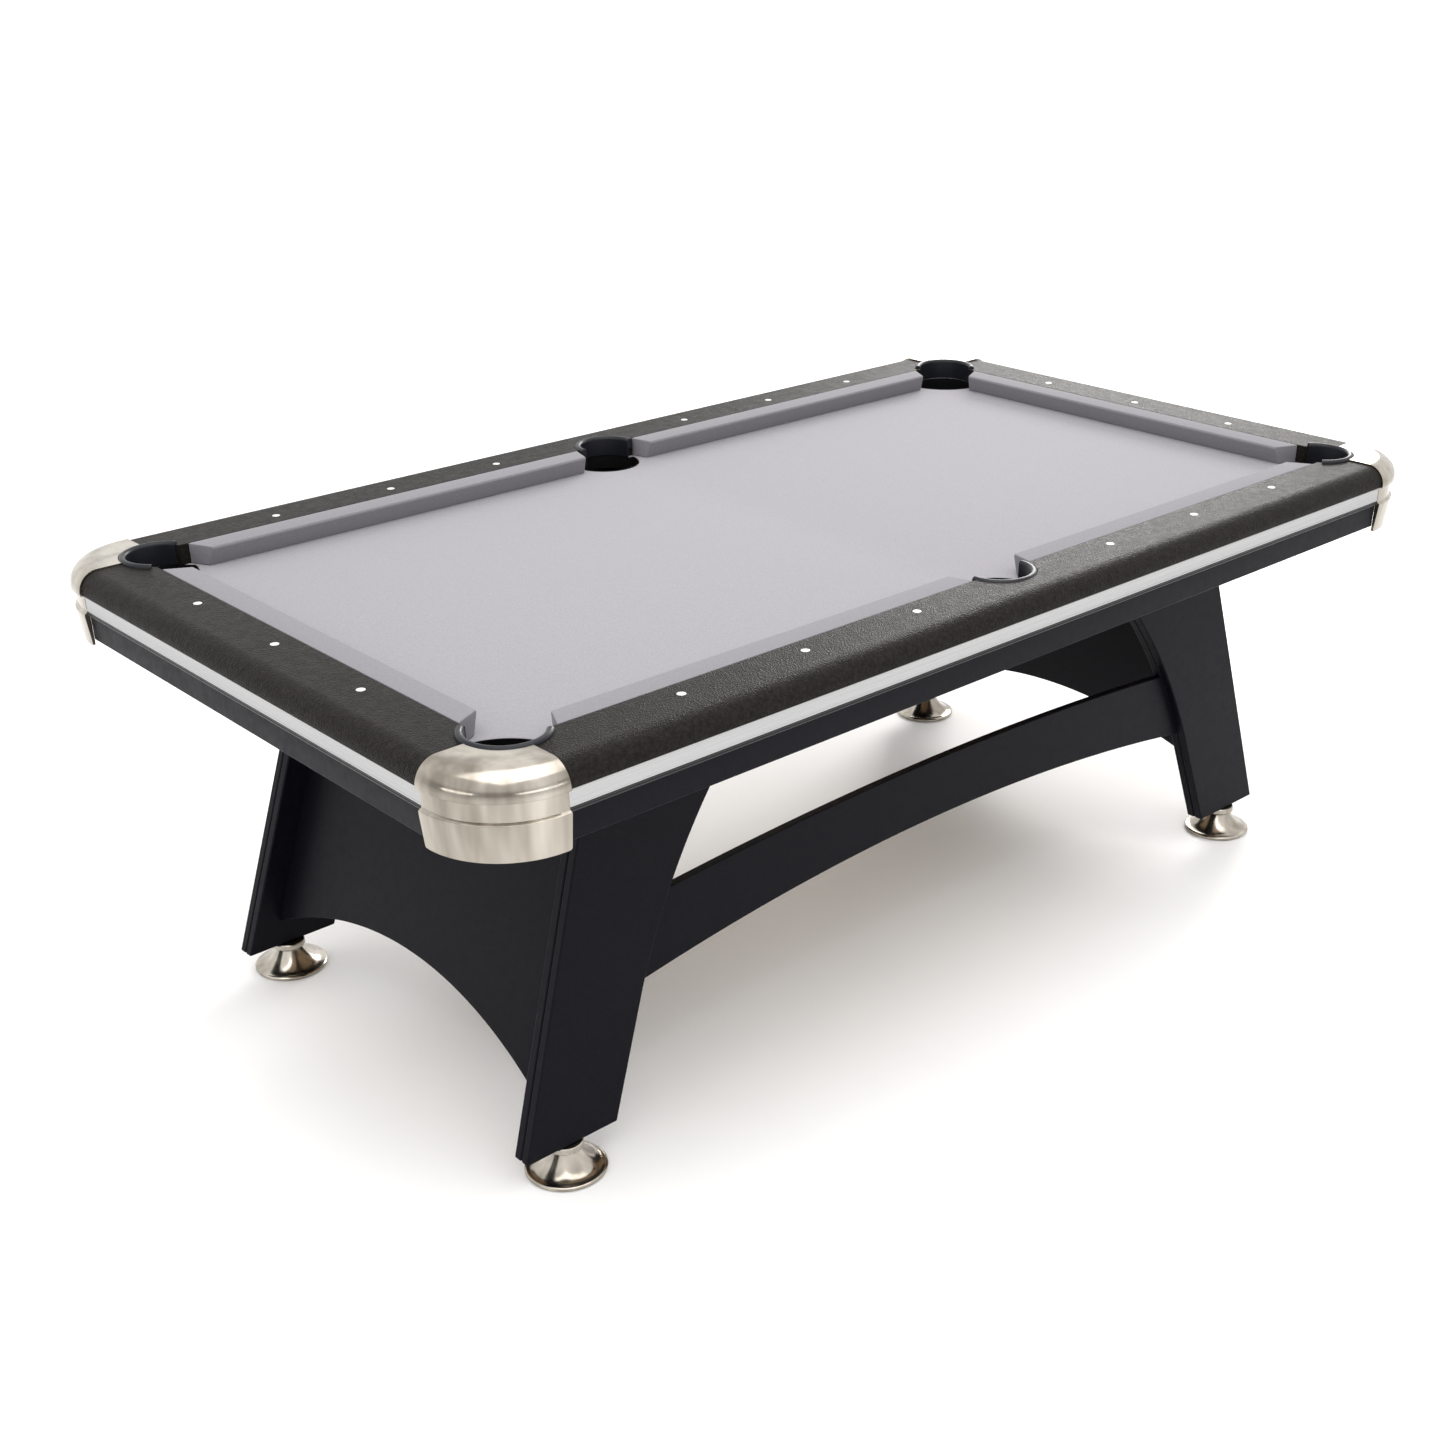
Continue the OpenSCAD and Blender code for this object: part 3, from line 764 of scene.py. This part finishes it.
def rim_section(r, kind):
    """A rim's outline as (radius, height): a rounded crest over a thin skirt."""
    crest = RIM_W / 2
    top = RAIL_TOP + CREST[kind] - crest
    points = arc(r + crest, top, crest, 180, 0, 20)
    points += [
        (r + RIM_W, RIM_Z + 0.2),
        (r + SKIRT_T, RIM_Z + 0.2),
        (r + SKIRT_T, BED_TOP + 0.3),
        (r, BED_TOP + 0.3),
    ]
    return points


def make_rim(name, x, y, r, kind):
    """A moulded rim round the outer side of a pocket."""
    face, half = pocket_facing(name), rim_span(kind) / 2
    shape = turned(rim_section(r, kind), (x, y), face - half, face + half, 72)
    node = name + "_pocket_rim"
    obj = make_piece(name + "_rim_moulding", shape, RUBBER, [node])
    bevel(obj, 2.0, 3, 50.0)


def cup_shell(name, x, y, kind):
    """A round cup with a flange that lies against the underside of the bed."""
    face = math.radians(pocket_facing(name))
    centre = (x - CUP_SHIFT[kind] * math.cos(face), y - CUP_SHIFT[kind] * math.sin(face))
    r, low = CUP_R[kind], BED_LOW - CUP_DEPTH[kind]
    wall, flange = 2.5, 10
    section = fillet(
        [
            (0, low, 0),
            (r + wall, low, 9.0),
            (r + wall, BED_LOW - 3.2, 1.5),
            (r + flange, BED_LOW - 3.2, 1.0),
            (r + flange, BED_LOW - 0.2, 1.0),
            (r, BED_LOW - 0.2, 1.0),
            (r, low + wall, 7.0),
            (0, low + wall, 0),
        ]
    )
    return turned(section, centre, n=72)


def shade_sleeve(place):
    """A thin dark sleeve in a pocket hole, with its top edges bevelled: painted shade over
    the inside of the hole.
    """
    low, shoulder, top = BED_LOW - 0.2, BED_TOP - 0.3, BED_TOP + 0.15
    outside = [(1.1, low), (1.1, shoulder), (1.5, top)]
    within = [(2.3, top), (2.7, shoulder), (2.7, low)]
    rings = []
    for inset, z in outside + within:
        rings.append([(x, y, z) for x, y in hole_outline(*place, -inset)])
    return loft(rings + rings[:1], caps=False)


def make_cup(name, x, y, _, kind):
    """A cup under the bed, with a dark sleeve above it in the hole as painted shade."""
    place = (name, x, y, kind)
    shape = joined([cup_shell(*place), shade_sleeve(place)])
    make_piece(name + "_cup_and_shade_sleeve", shape, CUP_AND_HOLE_SHADE, [name + "_pocket_cup"])


# ---- corner castings ----


def casting_section():
    """A casting's wall as (s, z): tapered band, lip, flush band and dome."""
    dome_low = 785.2
    start = 180 + math.degrees(math.asin((DOME_Z - dome_low) / DOME_R))
    dome_edge = DOME_IN - DOME_R * math.cos(math.radians(180 - start))
    band_out, lip_low, lip_top = -5.4, 747.6, 751.6
    outer = fillet(
        [
            (CAST_WALL, CAST_Z, 0),
            (-0.4, CAST_Z, 3.0),
            (band_out, lip_low, 1.6),
            (band_out, lip_top, 1.2),
            (0.0, 755.0, 1.0),
            (0.0, 782.6, 0.8),
            (-6.3, 783.6, 1.0),
            (dome_edge, dome_low, 0),
        ],
        closed=False,
    )
    outer += arc(DOME_IN, DOME_Z, DOME_R, start, 90, 30)[1:]
    outer.append((CAST_R, DOME_Z + DOME_R))
    inner = [(CAST_R, DOME_Z + DOME_R - CAST_WALL)]
    inner += arc(DOME_IN, DOME_Z, DOME_R - CAST_WALL, 90, 178, 20)
    inner.append((CAST_WALL, 784.0))
    return outer + inner


def make_casting(corner):
    """A domed metal corner, cut round for the pocket rim."""
    section = casting_section()
    straight, steps = CAST_LEN - CAST_R, 48
    # Towards each end the lower edge rises in a quarter round of radius straight.
    ends = []
    for gap in (0.0, 0.3, 1.0, 2.2, 3.8):
        low = CAST_Z + straight - math.sqrt(straight**2 - (straight - gap) ** 2)
        ends.append((CAST_LEN - gap, [(s, max(z, low)) for s, z in section]))
    rings = [[at_corner(corner, u, s, z) for s, z in ring] for u, ring in ends]
    for i in range(steps + 1):
        a = math.radians(90.0 * i / steps)
        turn = [(CAST_R - s, z) for s, z in section]
        rings.append(
            [
                at_corner(corner, CAST_R - d * math.sin(a), CAST_R - d * math.cos(a), z)
                for d, z in turn
            ]
        )
    rings += [[at_corner(corner, s, v, z) for s, z in ring] for v, ring in reversed(ends)]
    node = corner + "_casting"
    obj = make_piece(corner + "_casting_shell", loft(rings), NICKEL, [node])
    bevel(obj, 1.3, 3, 62.0)
    _, x, y, r, _ = next(p for p in pocket_places() if p[0] == corner)
    rim = circle(x, y, r + RIM_W + 0.1)
    cut(obj, [upright(rim, RIM_Z - 12, RAIL_TOP + 12)])


# ---- strips, beads and aprons ----


def make_strip(side):
    """A brushed strip with a fine raised lip along each edge."""
    z0, z1 = STRIP_Z, STRIP_Z + STRIP_H
    section = fillet(
        [
            (STRIP_T, z0 + 0.1, 0),
            (0.0, z0 + 0.1, 0.5),
            (0.0, z0 + 2.6, 0.3),
            (0.5, z0 + 3.1, 0.3),
            (0.5, z1 - 3.1, 0.3),
            (0.0, z1 - 2.6, 0.3),
            (0.0, z1 - 0.1, 0.5),
            (STRIP_T, z1 - 0.1, 0),
        ],
        n=4,
    )
    shape = swept(side, section)
    make_piece(side + "_strip_face", shape, STRIP, [side + "_strip"])


def make_beads():
    """Two rounded beads and the web between them under each strip, as one piece."""
    front, web, back = 0.6, 2.4, 4.0
    bead_h, pitch = 3.3, 3.9
    sections = []
    for low in (BEAD_Z, BEAD_Z + pitch):
        high = low + bead_h
        corners = [(back, low, 0), (front, low, 1.4), (front, high, 1.4), (back, high, 0)]
        sections.append(fillet(corners, n=6))
    low, high = BEAD_Z + 0.5, BEAD_Z + 7.0
    sections.append([(back, low), (web, low), (web, high), (back, high)])
    shape = joined(swept(side, section) for side in SIDES for section in sections)
    make_piece("trim_bead_mouldings", shape, BEAD, ["trim_beads"])


def make_apron(side):
    """A plain board behind the strip and the beads."""
    outer, inner = STRIP_T + 0.1, STRIP_T + APRON_T
    low, high = APRON_Z, BED_TOP - 1.4
    section = fillet(
        [(outer, low, 2.5), (outer, high, 1.0), (inner, high, 1.0), (inner, low, 2.5)]
    )
    shape = swept(side, section)
    make_piece(side + "_apron_board", shape, BOARD, [side + "_apron"])


# ---- legs, panels and stretchers ----


def leg_outer_x(z):
    """The outer edge of a left leg, as x at height z."""
    return -LEG_X + SPLAY * (z - LEG_Z)


def leg_edge_x(z):
    """The inner edge of a left leg, as x at height z: an arc, and straight lower down."""
    if z >= ARC_FROM_Z:
        return -(ARC_X + math.sqrt(ARC_R**2 - (z - ARC_Z) ** 2))
    return leg_edge_x(ARC_FROM_Z) - LOW_SLOPE * (ARC_FROM_Z - z)


def leg_outline(z0, z1):
    """A left leg board's outline as (x, z)."""
    points = [(leg_outer_x(z0), z0), (leg_outer_x(z1), z1)]
    steps = 40
    for i in range(steps + 1):
        z = z1 + (ARC_FROM_Z - z1) * i / steps
        points.append((leg_edge_x(z), z))
    points.append((leg_edge_x(z0), z0))
    return points


def leaned(x, z, back, sx, sy):
    """A point of a board drawn in (x, z), at depth back from the leg's outer face."""
    c, s = math.cos(LEAN), math.sin(LEAN)
    rise = z - LEG_Z
    y = -LEG_Y + back * c + rise * s
    up = LEG_Z + rise * c - back * s
    return (-sx * x, -sy * y, up)


def make_leg(corner):
    """A leg of two boards laid together, each with rounded edges."""
    sx, sy = CORNERS[corner]
    c, s = math.cos(LEAN), math.sin(LEAN)
    half_gap = 0.6
    boards = []
    for layer in ((0.0, LEG_T / 2 - half_gap), (LEG_T / 2 + half_gap, LEG_T)):
        rings = []
        for back in layer:
            low = LEG_Z + (back * s) / c
            high = LEG_Z + (LEG_TOP - LEG_Z + back * s) / c
            rings.append([leaned(x, z, back, sx, sy) for x, z in leg_outline(low, high)])
        boards.append(loft(rings))
    node = corner + "_leg"
    obj = make_piece(node + "_boards", joined(boards), BOARD, [node])
    bevel(obj, 3.0, 4, 30.0)


def make_end_panel(name, sx):
    """A slanted board between two legs, arched along its lower edge."""
    inner = LEG_Y - LEG_T / math.cos(LEAN) - 0.2
    arch_r, arch_top, steps = 906.0, 212.0, 56

    def half_y(z):
        return inner - (z - LEG_Z) * math.tan(LEAN)

    def arch_z(y):
        return arch_top - arch_r + math.sqrt(arch_r**2 - y * y)

    # The arch ends where it meets the leaning leg, found by going back and forth.
    low_z = LEG_Z
    for _ in range(40):
        low_z = arch_z(half_y(low_z))
    low_y = half_y(low_z)
    arch = [-low_y + 2 * low_y * i / steps for i in range(steps + 1)]
    points = [(y, arch_z(y)) for y in arch]
    points += [(half_y(LEG_TOP), LEG_TOP), (-half_y(LEG_TOP), LEG_TOP)]
    rings = []
    for back in (0.0, PANEL_T):
        face = LEG_X - PANEL_IN - back
        rings.append([(sx * (face - SPLAY * (z - LEG_Z)), y, z) for y, z in points])
    obj = make_piece(name + "_board", loft(rings), BOARD, [name])
    bevel(obj, 2.0, 3, 30.0)


def make_stretcher(name, sy):
    """An arched board in line with the inner layers of two legs."""
    top_z, top_r, low_z, low_r = 442.0, 8075.0, 331.0, 4514.0
    gap = 0.1

    def height(x, top, r):
        return top - r + math.sqrt(r * r - x * x)

    def end_of(top, r):
        """Where an arch meets the leg's inner edge, found by going back and forth."""
        x = 640.0
        for _ in range(40):
            x = -leg_edge_x(height(x, top, r))
        return x - gap

    def arched(reach, top, r, steps=48):
        xs = [-reach + 2 * reach * i / steps for i in range(steps + 1)]
        return [(x, height(x, top, r)) for x in xs]

    upper = arched(end_of(top_z, top_r), top_z, top_r)
    lower = arched(-end_of(low_z, low_r), low_z, low_r)
    right, left = [], []
    z0, z1 = lower[0][1], upper[0][1]
    for i in range(1, 8):
        z = z1 + (z0 - z1) * i / 8
        right.append((-leg_edge_x(z) - gap, z))
        left.append((leg_edge_x(z1 + z0 - z) + gap, z1 + z0 - z))
    outline = upper + right + lower + left
    rings = []
    for back in (LEG_T / 2 + 0.2, LEG_T / 2 + PANEL_T - 0.2):
        rings.append([leaned(x, z, back, -1, sy) for x, z in outline])
    obj = make_piece(name + "_board", loft(rings), BOARD, [name])
    bevel(obj, 2.0, 3, 50.0)


# ---- levellers ----


def foot_profile():
    """A bell foot and its screw as (radius, height)."""
    flare_r, flare_z, narrows, rises, steps = 64.0, 8.6, 39.0, 33.0, 24
    neck_top = 43.7
    section = fillet(
        [
            (0, 0.0, 0),
            (FOOT_R - 3.0, 0.0, 1.0),
            (FOOT_R, 2.4, 1.6),
            (FOOT_R, 6.2, 1.8),
            (FOOT_R - 2.4, 8.0, 1.0),
            (flare_r, flare_z, 0),
        ],
        closed=False,
        n=4,
    )
    for i in range(1, steps + 1):
        t = i / steps
        section.append((flare_r - narrows * t, flare_z + rises * (t**1.75)))
    section += [(24.4, 42.6), (23.4, 43.5), (22.0, neck_top), (STUD_R, neck_top)]
    section += [(STUD_R, STUD_TOP - 0.8), (7.0, STUD_TOP), (0, STUD_TOP)]
    return section


def make_foot(corner):
    """A bell foot turned in one piece with its screw."""
    sx, sy = CORNERS[corner]
    make_piece(
        corner + "_bell_foot",
        turned(foot_profile(), (sx * FOOT_X, sy * FOOT_Y), n=128),
        NICKEL,
        [corner + "_foot"],
        body=corner + "_leveller_foot",
        sharp=28.0,
    )


def make_collar(corner):
    """A collar with a ring of shallow grip notches round its side."""
    sx, sy = CORNERS[corner]
    cx, cy = sx * FOOT_X, sy * FOOT_Y
    bore, side, low, high = 8.0, 31.0, 44.0, 56.7
    section = fillet(
        [
            (bore, low, 0.3),
            (28.4, low, 0.8),
            (side, 46.6, 1.2),
            (side, 54.6, 1.0),
            (29.2, high, 0.8),
            (bore, high, 0.3),
        ],
        n=4,
    )
    notches, depth, n = 24, 0.5, 192
    rings = []
    for i in range(n):
        a = 2 * math.pi * i / n
        dip = depth * max(0.0, math.cos(notches * a)) ** 2
        ring = []
        for r, z in section:
            if r > 29.5 and 46.9 < z < 54.5:
                r -= dip
            ring.append((cx + r * math.cos(a), cy + r * math.sin(a), z))
        rings.append(ring)
    make_piece(
        corner + "_collar_ring",
        loft(rings + rings[:1], caps=False),
        NICKEL,
        [corner + "_collar"],
        body=corner + "_leveller_collar",
    )


# ---- the table ----

# CAD nodes that hardly show and keep their own meshes, as (material, slot).
PLAIN = {
    "left_bed_board": (WOOD, "board_wood"),
    "middle_bed_board": (WOOD, "board_wood"),
    "right_bed_board": (WOOD, "board_wood"),
    "long_beams": (WOOD, "board_wood"),
    "cross_beams": (WOOD, "board_wood"),
    "bolts": (STEEL, "bolt_steel"),
    "threaded_inserts": (STEEL, "bolt_steel"),
}


def make_table():
    make_bed_cloth()
    for side in SIDES:
        make_rail(side)
        make_strip(side)
        make_apron(side)
    make_sights()
    make_beads()
    make_cushions()
    for pocket in pocket_places():
        make_rim(*pocket)
        make_cup(*pocket)
    for corner in CORNERS:
        make_casting(corner)
        make_leg(corner)
        make_foot(corner)
        make_collar(corner)
    make_end_panel("left_end_panel", -1)
    make_end_panel("right_end_panel", 1)
    make_stretcher("near_stretcher", -1)
    make_stretcher("far_stretcher", 1)


def colour_plain_nodes():
    for name, (material, slot) in PLAIN.items():
        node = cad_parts[name]
        node.data.materials.clear()
        node.data.materials.append(material)


# ---- studio ----

# The viewpoint: place in metres, angles in radians, lens in mm.
CAMERA_PLACE = (-2.2598, -2.4256, 1.8321)
CAMERA_YAW, CAMERA_PITCH, CAMERA_ROLL = 0.74357, 0.5135, -0.00439
CAMERA_LENS, CAMERA_SHIFT = 45.73, (-0.0352, 0.1275)
SKY_BRIGHT_SIDE = (0.68, 0.73, 0.0)
SKY_STRENGTH = 1.28


def make_floor():
    look = Look("pale_floor", roughness=0.6)
    look.colour_between(look.noise(3.0, 2.0), (0.925, 0.925, 0.93), (0.94, 0.94, 0.94))
    size = 60.0
    mesh = bpy.data.meshes.new("floor")
    square = [(-size, -size, 0), (size, -size, 0), (size, size, 0), (-size, size, 0)]
    mesh.from_pydata(square, [], [(0, 1, 2, 3)])
    mesh.materials.append(look.material)
    put_in_scene("floor", mesh)


def softbox(name, place, target, size, power, colour=(1.0, 1.0, 1.0)):
    """A rectangular light at place, turned towards target."""
    light = bpy.data.lights.new(name, "AREA")
    light.shape = "RECTANGLE"
    light.size, light.size_y = size
    light.energy = power
    light.color = colour
    obj = put_in_scene(name, light)
    obj.location = place
    towards = Vector(target) - obj.location
    obj.rotation_euler = towards.to_track_quat("-Z", "Y").to_euler()


def smooth_rise(tree, value, low, high, start):
    """A level that rises from start to 1 while value goes from low to high."""
    node = tree.nodes.new("ShaderNodeMapRange")
    node.interpolation_type = "SMOOTHSTEP"
    node.inputs["From Min"].default_value = low
    node.inputs["From Max"].default_value = high
    node.inputs["To Min"].default_value = start
    tree.links.new(value, node.inputs["Value"])
    return node.outputs["Result"]


def make_world():
    """A soft sky: bright overhead and behind the table, darker low down in front."""
    world = bpy.data.worlds.new("studio")
    world.use_nodes = True
    tree = world.node_tree
    background = tree.nodes["Background"]
    coords = tree.nodes.new("ShaderNodeTexCoord")
    split = tree.nodes.new("ShaderNodeSeparateXYZ")
    across = tree.nodes.new("ShaderNodeVectorMath")
    across.operation = "DOT_PRODUCT"
    across.inputs[1].default_value = SKY_BRIGHT_SIDE
    tree.links.new(coords.outputs["Generated"], split.inputs["Vector"])
    tree.links.new(coords.outputs["Generated"], across.inputs[0])
    behind = smooth_rise(tree, across.outputs["Value"], -0.5, 0.5, 0.5)
    overhead = smooth_rise(tree, split.outputs["Z"], 0.12, 0.42, 0.0)
    most = tree.nodes.new("ShaderNodeMath")
    most.operation = "MAXIMUM"
    tree.links.new(behind, most.inputs[0])
    tree.links.new(overhead, most.inputs[1])
    tree.links.new(most.outputs["Value"], background.inputs["Color"])
    background.inputs["Strength"].default_value = SKY_STRENGTH
    bpy.context.scene.world = world


def make_studio():
    """A pale floor, a soft sky and four soft lights."""
    bpy.context.scene.view_settings.view_transform = "Standard"
    make_floor()
    make_world()
    softbox("overhead", (-0.8, -1.2, 4.6), (-0.8, -1.2, 0.0), (5.0, 4.0), 130.0)
    warm = (1, 0.98, 0.95)
    softbox("window", (4.0, 2.2, 2.4), (0.5, 0.0, 0.8), (2.2, 1.4), 105.0, warm)
    softbox("low_front", (-0.6, -4.6, 1.35), (0.0, -0.6, 0.75), (4.2, 0.4), 16.0)
    softbox("low_left", (-5.0, -0.6, 1.35), (-1.1, 0.0, 0.75), (2.6, 0.4), 14.0)


def make_camera():
    """The photograph's viewpoint, solved from the table's own parallel edges."""
    camera = bpy.data.cameras.new("camera")
    camera.lens = CAMERA_LENS
    camera.sensor_width = 36.0
    camera.shift_x, camera.shift_y = CAMERA_SHIFT
    camera.clip_end = 300.0
    obj = put_in_scene("camera", camera)
    level, drop = math.cos(CAMERA_PITCH), math.sin(CAMERA_PITCH)
    ahead = Vector((math.sin(CAMERA_YAW) * level, math.cos(CAMERA_YAW) * level, -drop))
    right = ahead.cross(Vector((0, 0, 1))).normalized()
    up = right.cross(ahead)
    c, s = math.cos(CAMERA_ROLL), math.sin(CAMERA_ROLL)
    rolled_right = right * c + up * s
    rolled_up = up * c - right * s
    matrix = Matrix((rolled_right, rolled_up, -ahead)).transposed().to_4x4()
    matrix.translation = Vector(CAMERA_PLACE)
    obj.matrix_world = matrix
    bpy.context.scene.camera = obj


make_table()
colour_plain_nodes()
make_studio()
make_camera()
